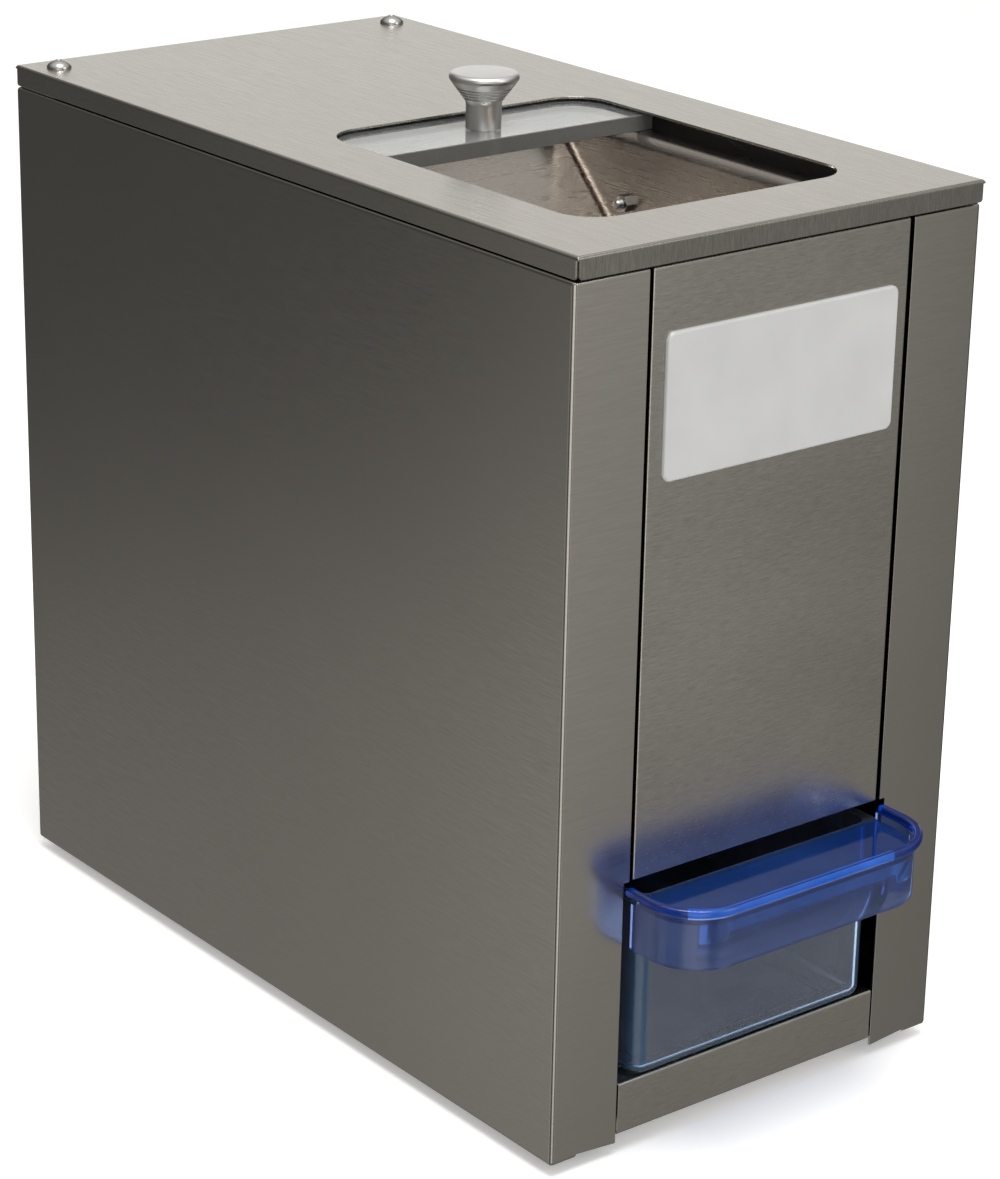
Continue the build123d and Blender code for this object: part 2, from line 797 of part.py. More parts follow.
def motor_housing():
    """Ribbed tube between the motor's two ends."""
    tube = rod_x(motor_radius - 3, -45, 58, motor_y, motor_z)
    for turn in range(24):
        rib = block(-45, 58, -1, 1, motor_radius - 6, motor_radius)
        tube += Pos(0, motor_y, motor_z) * Rot(15 * turn, 0, 0) * rib
    return tube - rod_x(motor_radius - 6, -46, 59, motor_y, motor_z)


def motor_flange():
    """Drive end of the motor, bolted to the frame plate."""
    flange = rod_x(56, 64, frame_inner, motor_y, motor_z)
    flange += rod_x(motor_radius, 58, 66, motor_y, motor_z)
    flange -= rod_x(motor_shaft_radius + running_gap, 50, 90, motor_y, motor_z)
    for y, z in motor_screw_places():
        flange -= rod_x(3.1, 65, 90, y, z)
    return flange


def motor_end_bell():
    """Far end of the motor."""
    bell = rod_x(motor_radius, -57, -45, motor_y, motor_z)
    bell = fillet(bell.faces().sort_by(Axis.X)[0].edges(), 4)
    return bell - rod_x(motor_shaft_radius + running_gap, -70, -40, motor_y, motor_z)


def motor_stator():
    """Winding stack pressed into the motor's tube."""
    ring = rod_x(motor_radius - 6.2, -32, 45, motor_y, motor_z)
    return ring - rod_x(30, -40, 50, motor_y, motor_z)


def motor_rotor():
    core = rod_x(29.4, -30, 43, motor_y, motor_z)
    return core - rod_x(motor_shaft_radius + running_gap, -40, 50, motor_y, motor_z)


def motor_shaft():
    shaft = rod_x(motor_shaft_radius, -73, 103, motor_y, motor_z)
    shaft += rod_x(motor_shaft_radius - 1, -73, 111.5, motor_y, motor_z)
    return chamfer(shaft.faces().sort_by(Axis.X)[-1].edges(), 0.5)


def motor_fan():
    """Radial fan on the shaft's free end."""
    fan = rod_x(14, -72, -60, motor_y, motor_z)
    fan += rod_x(42, -62, -60, motor_y, motor_z)
    for turn in range(8):
        blade = block(-72, -61, -1, 1, 10, 42)
        fan += Pos(0, motor_y, motor_z) * Rot(45 * turn, 0, 0) * blade
    return fan - rod_x(motor_shaft_radius + running_gap, -80, -50, motor_y, motor_z)


# electrical parts

def terminal_box():
    """Wiring box on top of the motor."""
    box = block(-18, 32, motor_y - 20, motor_y + 20, motor_z + 40, motor_z + 72)
    box = fillet(box.edges().filter_by(Axis.Z), 3)
    return box - rod_x(motor_radius + 0.1, -60, 70, motor_y, motor_z)


def capacitor():
    """Motor capacitor standing on the floor, with two terminals."""
    can = rod_z(17.5, floor_top, 75, 60, 150)
    can = fillet(can.edges().sort_by(Axis.Z)[-1], 3)
    for x in (54, 66):
        can += block(x - 3, x + 3, 149.6, 150.4, 74, 84)
    return can


def cover_switch_body():
    """Small safety switch in front of the opening, on the hopper's flange."""
    body = block(22, 50, -214, -201, rail_bottom, 429)
    return body - rod_y(2.1, -209, -200, 36, 424.5)


def cover_switch_plunger():
    """Sprung button that the plate's front edge reaches when it is shut."""
    plunger = rod_y(1.8, -204, plate_front - plate_travel - 0.6, 36, 424.5)
    return fillet(plunger.edges().group_by(Axis.Y)[-1], 0.8)


def rocker_switch_body():
    """Mains switch frame, set into the rear panel."""
    face_y = half_d - sheet
    body = block(rocker_x - 12, rocker_x + 12, face_y, face_y + 2, rocker_z - 16.5, rocker_z + 16.5)
    body = fillet(body.edges().filter_by(Axis.Y), 1.5)
    body += block(rocker_x - 10.5, rocker_x + 10.5, 200, face_y, rocker_z - 14.8, rocker_z + 14.8)
    body -= block(rocker_x - 8.8, rocker_x + 8.8, 210, 240, rocker_z - 13.6, rocker_z + 13.6)
    return body - rod_x(rocker_pivot + running_gap, rocker_x - 10, rocker_x + 10, rocker_y, rocker_z)


def rocker():
    """Rocking key of the mains switch on its two pivot stubs, tilted to off."""
    points = ((6.5, -12.4), (4.6, 0), (6.5, 12.4), (1, 11.5), (-5, 3), (-5, -3), (1, -11.5))
    key = side_profile(points, -8.5, 8.5)
    key += rod_x(rocker_pivot, -9.6, 9.6, 0, 0)
    return Pos(rocker_x, rocker_y, rocker_z) * Rot(-rocker_tilt, 0, 0) * key


def cable_gland():
    """Cable inlet in the rear panel, with its nut inside."""
    face_y = half_d - sheet
    body = rod_y(8, 210, face_y + 1, gland_x, gland_z)
    body += hex_y(22, face_y, face_y + 6, gland_x, gland_z)
    dome = rod_y(9.8, face_y + 5, gland_back, gland_x, gland_z)
    body += fillet(dome.edges().group_by(Axis.Y)[-1], 3)
    body -= rod_y(4.2, 200, gland_back + 1, gland_x, gland_z)
    nut = hex_y(22, face_y - 1.4 - 5, face_y - 1.4, gland_x, gland_z)
    nut -= rod_y(8.1, 200, 240, gland_x, gland_z)
    return group([body, nut])


# ice drawer

def grip_outline(inset):
    """D-shaped outline of the grip in front of the casing."""
    half = grip_half - inset
    front = grip_front + inset
    radius = grip_radius - inset
    face = Pos(0, (front + grip_back) / 2) * Rectangle(2 * half, grip_back - front)
    corners = face.vertices().group_by(Axis.Y)[0]
    return fillet(corners, radius)


def ice_drawer():
    """One moulded piece: the bin, and the hollow grip with its rounded bead."""
    middle = (bin_front + bin_back) / 2
    outline = RectangleRounded(2 * bin_half, bin_back - bin_front, 9)
    bin_ = Pos(0, middle, bin_bottom) * extrude(outline, bin_top - bin_bottom)
    bin_ = fillet(bin_.faces().sort_by(Axis.Z)[0].edges(), 6)
    rim = Pos(0, (grip_back + bin_back + 2.7) / 2) * Rectangle(152.4, bin_back + 2.7 - grip_back)
    bin_ += Pos(0, 0, bin_top - 2) * extrude(rim, 2)
    for x in (-58, 58):
        bin_ += block(x - 2, x + 2, bin_front + 12, bin_back - 8, bay_bottom + 0.1, bin_bottom + 1)
    bead = Pos(0, 0, bead_bottom) * extrude(grip_outline(0) - grip_outline(4.4), bead_top - bead_bottom)
    bead = fillet(bead.edges().filter_by(lambda e: e.center().Y < grip_back - 1), 1.5)
    skirt = grip_outline(skirt_inset) - grip_outline(skirt_inset + bin_wall)
    grip = Pos(0, 0, skirt_bottom) * extrude(skirt, bead_bottom + 1.5 - skirt_bottom)
    grip += Pos(0, 0, bin_top - bin_wall) * extrude(grip_outline(skirt_inset + 1), bin_wall)
    drawer = bin_ + grip + bead
    hollow = RectangleRounded(2 * (bin_half - bin_wall), bin_back - bin_front - 2 * bin_wall, 6.5)
    inside = Pos(0, middle, bin_bottom + bin_wall) * extrude(hollow, 120)
    return drawer - fillet(inside.faces().sort_by(Axis.Z)[0].edges(), 4)


parts = {
    "left_side_panel": side_panel(),
    "right_side_panel": mirrored(side_panel()),
    "rear_panel": rear_panel(),
    "floor_plate": floor_plate(),
    "front_panel": front_panel(),
    "plinth_panel": plinth_panel(),
    "top_cover": top_cover(),
    "cover_screws": cover_screws(),
    "cover_brackets": both_sides(cover_bracket()),
    "rear_panel_screws": rear_panel_screws(),
    "front_label": front_label(),
    "rubber_feet": rubber_feet(),
    "base_screws": base_screws(),
    "slide_plate": slide_plate(),
    "slide_knob": slide_knob(),
    "knob_screw": knob_screw(),
    "right_guide_rail": guide_rail(),
    "left_guide_rail": mirrored(guide_rail()),
    "slide_stops": slide_stops(),
    "rail_screws": rail_screws(),
    "hopper_right_wall": hopper_side_wall(),
    "hopper_left_wall": mirrored(hopper_side_wall()),
    "hopper_front_wall": hopper_front_wall(),
    "hopper_slope": hopper_slope(),
    "hopper_bolts": hopper_bolts(),
    "hopper_nuts": hopper_nuts(),
    "discharge_chute": discharge_chute(),
    "frame_plate_left": frame_plate(),
    "frame_plate_right": drive_frame_plate(),
    "drawer_shelf": drawer_shelf(),
    "rotor_shaft": rotor_shaft(),
    "rotor_knives": rotor_knives(),
    "rotor_spacers": rotor_spacers(),
    "stator_comb": stator_comb(),
    "bearing_housings": both_sides(bearing_housing()),
    "rotor_bearings": both_sides(bearing()),
    "bearing_screws": bearing_screws(),
    "rotor_gear": rotor_gear(),
    "idler_shaft": idler_shaft(),
    "idler_pinion": idler_pinion(),
    "idler_gear": idler_gear(),
    "motor_pinion": motor_pinion(),
    "gearbox_cover": gearbox_cover(),
    "gearbox_screws": gearbox_screws(),
    "motor_screws": motor_screws(),
    "motor_housing": motor_housing(),
    "motor_flange": motor_flange(),
    "motor_end_bell": motor_end_bell(),
    "motor_stator": motor_stator(),
    "motor_rotor": motor_rotor(),
    "motor_shaft": motor_shaft(),
    "motor_fan": motor_fan(),
    "terminal_box": terminal_box(),
    "capacitor": capacitor(),
    "cover_switch_body": cover_switch_body(),
    "cover_switch_plunger": cover_switch_plunger(),
    "rocker_switch_body": rocker_switch_body(),
    "rocker": rocker(),
    "cable_gland": cable_gland(),
    "ice_drawer": ice_drawer(),
}

os.makedirs("parts", exist_ok=True)
for name, shape in parts.items():
    export_step(Pos(0, frame_shift, foot_height) * shape, f"parts/{name}.step")
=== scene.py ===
import bmesh
import bpy
import math
from mathutils import Matrix, Vector


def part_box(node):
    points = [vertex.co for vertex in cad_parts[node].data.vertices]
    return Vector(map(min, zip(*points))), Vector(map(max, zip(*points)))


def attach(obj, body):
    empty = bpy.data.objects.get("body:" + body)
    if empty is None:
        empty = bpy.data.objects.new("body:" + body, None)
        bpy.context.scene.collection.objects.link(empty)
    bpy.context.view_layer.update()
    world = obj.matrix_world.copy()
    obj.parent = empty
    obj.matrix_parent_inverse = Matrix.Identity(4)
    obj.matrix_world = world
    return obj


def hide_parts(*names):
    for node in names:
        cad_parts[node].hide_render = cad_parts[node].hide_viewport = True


# Countertop ice crusher in brushed stainless steel, with a blue ice drawer.
# Metres, +Z up, front towards -Y.
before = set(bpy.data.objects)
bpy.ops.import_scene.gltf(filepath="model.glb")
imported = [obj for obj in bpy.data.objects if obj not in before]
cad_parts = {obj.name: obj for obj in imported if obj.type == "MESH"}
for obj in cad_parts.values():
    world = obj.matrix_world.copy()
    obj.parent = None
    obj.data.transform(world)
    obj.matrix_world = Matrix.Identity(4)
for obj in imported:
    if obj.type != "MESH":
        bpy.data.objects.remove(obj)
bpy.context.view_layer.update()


# Studio
# A pale floor, two soft boxes and a room light of broad soft patches. The floor is
# left out of reflections, so the steel also mirrors the patches that are below it.

scene = bpy.context.scene
scene.view_settings.view_transform = "Standard"

camera_data = bpy.data.cameras.new("studio_camera")
camera_data.sensor_width = 36.0
camera_data.lens = 106.54
camera = bpy.data.objects.new("studio_camera", camera_data)
camera.location = (-1.0176, -1.29065, 0.8155)
camera.rotation_euler = [math.radians(angle) for angle in (69.434, -1.059, -38.163)]
scene.collection.objects.link(camera)
scene.camera = camera


def add_node(tree, kind, inputs=None, **settings):
    item = tree.nodes.new(kind)
    for key, value in settings.items():
        setattr(item, key, value)
    for key, value in (inputs or {}).items():
        item.inputs[key].default_value = value
    return item


def add_math(tree, operation, first, second):
    """Math node on links or plain numbers."""
    item = add_node(tree, "ShaderNodeMath", operation=operation)
    for socket, value in zip(item.inputs, (first, second)):
        if isinstance(value, (int, float)):
            socket.default_value = value
        else:
            tree.links.new(value, socket)
    return item.outputs[0]


def add_range(tree, value, low, high, to_low, to_high, curve="LINEAR"):
    """Maps low..high to to_low..to_high."""
    item = add_node(tree, "ShaderNodeMapRange", interpolation_type=curve)
    tree.links.new(value, item.inputs["Value"])
    ends = {"From Min": low, "From Max": high, "To Min": to_low, "To Max": to_high}
    for key, number in ends.items():
        item.inputs[key].default_value = number
    return item.outputs["Result"]


# direction that the light comes from, how far it spreads (cosines), and its strength
room_dim = 0.10
room_lights = (
    ((-0.60, -0.78, -0.15), 0.80, 0.98, 1.30),
    ((0.40, -0.90, -0.12), 0.85, 0.98, 0.50),
    ((0.60, 0.76, 0.12), 0.86, 0.99, 0.95),
    ((-0.351, 0.437, -0.828), 0.779, 0.831, 0.21),
    ((-0.82, 0.448, -0.355), 0.917, 0.957, 0.26),
    ((0.30, -0.30, -1.0), 0.60, 0.95, 0.20),
    ((0.0, -0.2, 1.0), 0.10, 0.95, 0.80),
)
world = bpy.data.worlds.new("studio_room")
world.use_nodes = True
scene.world = world
room = world.node_tree
direction = add_node(room, "ShaderNodeTexCoord").outputs["Generated"]
brightness = room_dim
for axis, edge, centre, strength in room_lights:
    facing = add_node(room, "ShaderNodeVectorMath", operation="DOT_PRODUCT")
    facing.inputs[1].default_value = Vector(axis).normalized()
    room.links.new(direction, facing.inputs[0])
    lobe = add_range(room, facing.outputs["Value"], edge, centre, 0.0, strength, "SMOOTHSTEP")
    brightness = add_math(room, "ADD", lobe, brightness)
room.links.new(brightness, room.nodes["Background"].inputs["Strength"])
room.nodes["Background"].inputs["Color"].default_value = (1.0, 0.985, 0.96, 1.0)


def soft_box(name, place, target, size, power):
    data = bpy.data.lights.new(name, "AREA")
    data.shape = "DISK"
    data.size = size
    data.energy = power
    lamp = bpy.data.objects.new(name, data)
    lamp.location = place
    lamp.rotation_euler = (Vector(target) - Vector(place)).to_track_quat("-Z", "Y").to_euler()
    lamp.visible_camera = False
    scene.collection.objects.link(lamp)


soft_box("soft_box_above", (-0.3, -0.5, 2.4), (0.0, 0.0, 0.3), 1.4, 40.0)
soft_box("soft_box_front", (0.9, -2.2, 1.5), (0.0, 0.0, 0.2), 1.2, 8.0)

def start_material(name, sockets):
    """New material with the given socket values, its node tree and its shader."""
    material = bpy.data.materials.new(name)
    material.use_nodes = True
    shader = material.node_tree.nodes["Principled BSDF"]
    for key, value in sockets.items():
        shader.inputs[key].default_value = value
    return material, material.node_tree, shader


floor_mesh = bmesh.new()
bmesh.ops.create_circle(floor_mesh, cap_ends=True, segments=96, radius=14.0)
floor_data = bpy.data.meshes.new("studio_floor")
floor_mesh.to_mesh(floor_data)
floor_mesh.free()
floor = bpy.data.objects.new("studio_floor", floor_data)
scene.collection.objects.link(floor)
floor_sockets = {"Base Color": (0.9, 0.9, 0.89, 1.0), "Roughness": 0.7,
                 "Emission Color": (1.0, 1.0, 1.0, 1.0), "Emission Strength": 0.3}
floor_paint = start_material("floor_paint", floor_sockets)[0]
floor_data.materials.append(floor_paint)
floor.visible_glossy = False


# Casing sheets
# Two side sheets, a rear sheet and a floor sheet of 1.2 mm brushed stainless
# steel, folded and screwed together. The grain runs level round each side sheet.

def noise(tree, size, detail=3.0, roughness=0.5):
    """Noise on Object coordinates whose marks have the given size along X, Y and Z."""
    place = add_node(tree, "ShaderNodeTexCoord")
    scale = add_node(tree, "ShaderNodeMapping", {"Scale": [1.0 / length for length in size]})
    marks = add_node(tree, "ShaderNodeTexNoise", {"Scale": 1.0, "Detail": detail, "Roughness": roughness})
    tree.links.new(place.outputs["Object"], scale.inputs["Vector"])
    tree.links.new(scale.outputs["Vector"], marks.inputs["Vector"])
    return marks.outputs["Fac"]


def tint(tree, shader, value, dark, light, low=0.3, high=0.7):
    """Base colour between two tones, as the value goes from low to high."""
    mix = add_node(tree, "ShaderNodeMix", data_type="RGBA")
    tree.links.new(add_range(tree, value, low, high, 0.0, 1.0), mix.inputs["Factor"])
    mix.inputs[6].default_value = (*dark, 1.0)
    mix.inputs[7].default_value = (*light, 1.0)
    tree.links.new(mix.outputs[2], shader.inputs["Base Color"])


def vary_roughness(tree, shader, value, at_low, at_high, low=0.3, high=0.7):
    """Roughness between two numbers, as the value goes from low to high."""
    tree.links.new(add_range(tree, value, low, high, at_low, at_high), shader.inputs["Roughness"])


def blend(tree, first, second, share):
    """Weighted sum of two patterns; share is the weight of the first."""
    return add_math(tree, "ADD", add_math(tree, "MULTIPLY", first, share),
                    add_math(tree, "MULTIPLY", second, 1.0 - share))


def bump(tree, shader, height, depth):
    item = add_node(tree, "ShaderNodeBump", {"Strength": 1.0, "Distance": depth})
    tree.links.new(height, item.inputs["Height"])
    tree.links.new(item.outputs["Normal"], shader.inputs["Normal"])


def brushed_steel(name, tone, line, roughness, across=(0.0, 0.0, 1.0), contrast=0.10, depth=0.00003,
                  spread=0.06):
    """Steel brushed in lines at right angles to across; line is the size of one mark along X, Y and Z."""
    sockets = {"Metallic": 1.0, "Anisotropic": 0.55, "Anisotropic Rotation": 0.25}
    material, tree, shader = start_material(name, sockets)
    fine = noise(tree, line, 4.0, 0.6)
    broad = noise(tree, [2.5 * length for length in line], 2.0)
    cloud = noise(tree, (0.09, 0.09, 0.06), 2.0)
    lines = blend(tree, fine, broad, 0.7)
    tone_value = blend(tree, lines, cloud, 0.8)
    dark = [channel * (1.0 - contrast) for channel in tone]
    light = [channel * (1.0 + contrast) for channel in tone]
    tint(tree, shader, tone_value, dark, light, 0.38, 0.62)
    vary_roughness(tree, shader, lines, roughness + spread, roughness - spread)
    bump(tree, shader, lines, depth)
    surface = add_node(tree, "ShaderNodeNewGeometry")
    along = add_node(tree, "ShaderNodeVectorMath", operation="CROSS_PRODUCT")
    along.inputs[1].default_value = across
    tree.links.new(surface.outputs["Normal"], along.inputs[0])
    tree.links.new(along.outputs["Vector"], shader.inputs["Tangent"])
    return material


def coat(material, *names):
    """Gives CAD nodes their finish."""
    for name in names:
        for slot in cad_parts[name].material_slots:
            slot.material = material


def drop_faces(mesh, unwanted):
    bmesh.ops.delete(mesh, geom=[face for face in mesh.faces if unwanted(face)], context="FACES")


def box_mesh(low, high, *open_sides):
    """Box between two corners, without the faces that look towards open_sides."""
    mesh = bmesh.new()
    place = Matrix.Translation((low + high) / 2) @ Matrix.Diagonal((*(high - low), 1.0))
    bmesh.ops.create_cube(mesh, size=1.0, matrix=place)
    mesh.normal_update()
    drop_faces(mesh, lambda face: any(face.normal.dot(Vector(side)) > 0.9 for side in open_sides))
    return mesh


def cut(mesh, point, normal):
    """Scores the whole mesh along a plane."""
    everything = mesh.verts[:] + mesh.edges[:] + mesh.faces[:]
    bmesh.ops.bisect_plane(mesh, geom=everything, dist=1e-6, plane_co=point, plane_no=normal)


def clean(mesh):
    """Joins flat neighbours again after cuts."""
    bmesh.ops.dissolve_limit(mesh, angle_limit=0.02, verts=mesh.verts[:], edges=mesh.edges[:])
    mesh.normal_update()


def folds(mesh, degrees=60):
    """Edges where two faces turn by more than the given angle."""
    return [edge for edge in mesh.edges
            if len(edge.link_faces) == 2 and edge.calc_face_angle() > math.radians(degrees)]


def round_edges(mesh, edges, radius, segments=5):
    bmesh.ops.bevel(mesh, geom=edges, offset=radius, segments=segments, profile=0.5, affect="EDGES",
                    material=-1)
    mesh.normal_update()


def make_piece(name, mesh, body, nodes, materials, thickness=0.0, edge=0.0, sharp=40):
    """Turns a mesh into a piece that rides on a body and stands for CAD nodes."""
    data = bpy.data.meshes.new(name)
    mesh.to_mesh(data)
    mesh.free()
    for polygon in data.polygons:
        polygon.use_smooth = True
    if not edge:
        data.set_sharp_from_angle(angle=math.radians(sharp))
    for material in materials:
        data.materials.append(material)
    piece = bpy.data.objects.new(name, data)
    scene.collection.objects.link(piece)
    if thickness:
        wall = piece.modifiers.new("wall", "SOLIDIFY")
        wall.thickness = thickness
        wall.offset = -1.0
        wall.use_even_offset = True
    if edge:
        soft = piece.modifiers.new("soft_edges", "BEVEL")
        soft.width = edge
        soft.segments = 2
        soft.limit_method = "ANGLE"
        soft.angle_limit = math.radians(sharp)
        soft.use_clamp_overlap = False
    weighted = piece.modifiers.new("flat_faces", "WEIGHTED_NORMAL")
    weighted.keep_sharp = True
    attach(piece, body)
    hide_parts(*nodes)


def corners(node):
    """Lowest and highest corner of a CAD node's box."""
    return [Vector(corner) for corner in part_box(node)]


steel_tone = (0.405, 0.385, 0.348)
sheet = 0.0012
bend = 0.002
crisp_edge = 0.0002
level_flange = 0.015
rear_flange = 0.020
front_flange = 0.0385
top_front_flange = 0.010
casing_steel = brushed_steel("casing_steel", steel_tone, (0.012, 0.012, 0.0005), 0.20, contrast=0.04,
                             depth=0.00002)
coat(casing_steel, "rear_panel", "floor_plate")
bay_top = corners("front_panel")[0].z


def side_sheet(node, side):
    """Folded side sheet; side is -1 on the left and 1 on the right."""
    low, high = corners(node)
    outer = low.x if side < 0 else high.x
    front = low.y

    def waste(face):
        """True where the open box has no flange."""
        middle = face.calc_center_median()
        depth = abs(middle.x - outer)
        if face.normal.z > 0.9:
            return depth > level_flange and middle.y > front + top_front_flange
        if face.normal.z < -0.9:
            return depth > level_flange
        if face.normal.y > 0.9:
            return depth > rear_flange
        return face.normal.y < -0.9 and depth > front_flange and middle.z < bay_top

    mesh = box_mesh(low, high, (-side, 0, 0))
    for reach in (level_flange, rear_flange, front_flange):
        cut(mesh, (outer - side * reach, 0, 0), (1, 0, 0))
    cut(mesh, (0, front + top_front_flange, 0), (0, 1, 0))
    cut(mesh, (0, 0, bay_top), (0, 0, 1))
    drop_faces(mesh, waste)
    clean(mesh)
    round_edges(mesh, folds(mesh), bend)
    make_piece(node + "_sheet", mesh, "casing", [node], [casing_steel], sheet, crisp_edge)


side_sheet("left_side_panel", -1)
side_sheet("right_side_panel", 1)


# Front sheets
# The folded front sheet stands between the side sheets with a narrow seam each
# side, and the plinth sheet closes the front under the drawer.

front_steel = brushed_steel("front_steel", steel_tone, (0.006, 0.006, 0.00045), 0.24, contrast=0.16)
front_fold = 0.0009
front_thickness = sheet * 0.7  # its folds are tighter than a full sheet allows
plinth_fold = 0.0012
touching = 1e-6

low, high = corners("front_panel")
mesh = box_mesh(low, high, (0, 1, 0))
top_fold = [edge for edge in folds(mesh)
            if all(vert.co.z > high.z - touching and vert.co.y < low.y + touching for vert in edge.verts)]
round_edges(mesh, top_fold, bend)
round_edges(mesh, folds(mesh), front_fold, 4)
make_piece("front_sheet", mesh, "casing", ["front_panel"], [front_steel], front_thickness,
           crisp_edge)

low, high = corners("plinth_panel")
mesh = box_mesh(low, high, (0, 1, 0), (1, 0, 0), (-1, 0, 0))
round_edges(mesh, folds(mesh), plinth_fold, 4)
make_piece("plinth_sheet", mesh, "casing", ["plinth_panel"], [front_steel], sheet, crisp_edge)


# Label
# A blank white plate of moulded plastic with rounded corners and a domed edge,
# stuck to the front sheet.

label_corner = 0.004
label_dome = 0.0013
label_sockets = {"Roughness": 0.35, "Coat Weight": 0.6, "Coat Roughness": 0.06}
label_white, tree, shader = start_material("label_white", label_sockets)
tint(tree, shader, noise(tree, (0.03, 0.03, 0.03), 2.0), (0.45, 0.45, 0.45), (0.49, 0.49, 0.485))


def shift(mesh, made, step):
    """Moves the new points of an extrusion."""
    points = [item for item in made["geom"] if isinstance(item, bmesh.types.BMVert)]
    bmesh.ops.translate(mesh, verts=points, vec=step)


low, high = corners("front_label")
middle = (low + high) / 2
mesh = bmesh.new()
stand = Matrix.Translation((middle.x, high.y, middle.z)) @ Matrix.Rotation(math.radians(90), 4, "X")
bmesh.ops.create_grid(mesh, x_segments=1, y_segments=1, size=0.5,
                      matrix=stand @ Matrix.Diagonal((high.x - low.x, high.z - low.z, 1.0, 1.0)))
bmesh.ops.bevel(mesh, geom=mesh.verts[:], offset=label_corner, segments=8, profile=0.5, affect="VERTICES",
                material=-1)
shift(mesh, bmesh.ops.extrude_face_region(mesh, geom=mesh.faces[:]), (0, low.y - high.y, 0))
bmesh.ops.recalc_face_normals(mesh, faces=mesh.faces[:])
rim = [edge for edge in folds(mesh) if all(vert.co.y < low.y + touching for vert in edge.verts)]
round_edges(mesh, rim, label_dome)
make_piece("blank_label", mesh, "casing", ["front_label"], [label_white])


# Feet
# Four short round feet of black rubber under the floor sheet. Each is held by a
# screw from below, whose head is sunk in the rubber.

def rough_plastic(name, dark, light, roughness, grain=0.0008, depth=0.00004):
    """Moulded plastic, rubber or paint with a fine grain between two tones."""
    material, tree, shader = start_material(name, {"Specular IOR Level": 0.4})
    marks = noise(tree, (grain, grain, grain), 3.0)
    cloud = noise(tree, (0.03, 0.03, 0.03), 3.0)
    both = blend(tree, marks, cloud, 0.5)
    tint(tree, shader, both, dark, light, 0.35, 0.65)
    vary_roughness(tree, shader, both, roughness - 0.06, roughness + 0.06, 0.35, 0.65)
    bump(tree, shader, marks, depth)
    return material


foot_rubber = rough_plastic("foot_rubber", (0.016, 0.016, 0.017), (0.03, 0.03, 0.031), 0.75)
coat(foot_rubber, "rubber_feet")


# Fasteners
# Screws, bolts and nuts of bright steel. Domed screws hold the cover, and bolts with
# hexagon heads, washers and nuts hold the hopper walls to the frame.

def turned_metal(name, dark, light, roughness, grain=0.0006, depth=0.00002):
    """Bare metal with a fine grain between two tones."""
    material, tree, shader = start_material(name, {"Metallic": 1.0})
    marks = noise(tree, (grain, grain, grain), 3.0)
    cloud = noise(tree, (0.02, 0.02, 0.02), 3.0)
    both = blend(tree, marks, cloud, 0.4)
    tint(tree, shader, both, dark, light, 0.35, 0.65)
    vary_roughness(tree, shader, both, roughness + 0.05, roughness - 0.05, 0.35, 0.65)
    bump(tree, shader, marks, depth)
    return material


fastener_steel = turned_metal("fastener_steel", (0.42, 0.41, 0.39), (0.58, 0.57, 0.55), 0.24)
coat(fastener_steel, "base_screws", "rear_panel_screws", "rail_screws", "bearing_screws", "gearbox_screws",
     "motor_screws", "knob_screw")


def turned(mesh, place, profile, direction=(0, 0, 1), steps=48):
    """Spins a profile of (radius, distance along) points round a line from place along direction."""
    direction = Vector(direction)
    outward = direction.orthogonal().normalized()
    points = [mesh.verts.new(place + outward * radius + direction * along) for radius, along in profile]
    line = [mesh.edges.new(pair) for pair in zip(points, points[1:])]
    known = set(mesh.verts) - set(points)
    bmesh.ops.spin(mesh, geom=points + line, cent=place, axis=direction, angle=math.tau, steps=steps,
                   use_merge=True)
    added = [vert for vert in mesh.verts if vert not in known]
    bmesh.ops.remove_doubles(mesh, verts=added, dist=2e-6)
    bmesh.ops.recalc_face_normals(mesh, faces=mesh.faces[:])


low, high = corners("cover_screws")
head_radius = (high.y - low.y) / 2
shank_radius = 0.0029
shank_end = -0.0084
screw_profile = ((0, shank_end), (shank_radius, shank_end), (shank_radius, 0), (head_radius, 0),
                 (head_radius, 0.0009), (head_radius - 0.0008, 0.0021), (head_radius - 0.0022, 0.0031),
                 (0.0025, 0.0038), (0.0016, 0.0039), (0.0011, 0.0030), (0, 0.0028))
mesh = bmesh.new()
for x in (low.x + head_radius, high.x - head_radius):
    turned(mesh, Vector((x, (low.y + high.y) / 2, corners("top_cover")[1].z)), screw_profile)
make_piece("cover_screw_heads", mesh, "casing", ["cover_screws"], [fastener_steel],
           sharp=50)

# Hopper bolts: distances run inwards from the inner face of the hopper wall.
hexagon_radius = 0.0046
bolt_inset = 0.004619
bolt_head_height = 0.0035
bolt_radius = 0.0025
thread_root = 0.00215
thread_start = 0.0053
thread_step = 0.0004
thread = [(bolt_radius if ring % 2 else thread_root, thread_start + thread_step * ring) for ring in range(9)]
bolt_profile = ((0, -0.0045), (bolt_radius, -0.0045), (bolt_radius, thread_start), *thread, (0.0019, 0.0092),
                (0, 0.0094))
washer_hole = 0.0027
washer_radius = 0.0060
washer_height = 0.0011
washer_profile = ((washer_hole, 0.0), (washer_radius, 0.0), (washer_radius, washer_height),
                  (washer_hole, washer_height), (washer_hole, 0.0))
nut_middle = 0.0032
nut_height = 0.0042


def hexagon(mesh, middle, height):
    """Adds a hexagon prism along X with softened edges."""
    place = Matrix.Translation(middle) @ Matrix.Rotation(math.radians(90), 4, "Y")
    made = bmesh.ops.create_cone(mesh, cap_ends=True, segments=6, radius1=hexagon_radius,
                                 radius2=hexagon_radius, depth=height, matrix=place)
    rim = list({edge for vert in made["verts"] for edge in vert.link_edges})
    bmesh.ops.bevel(mesh, geom=rim, offset=0.0004, segments=2, profile=0.5, affect="EDGES", material=-1)


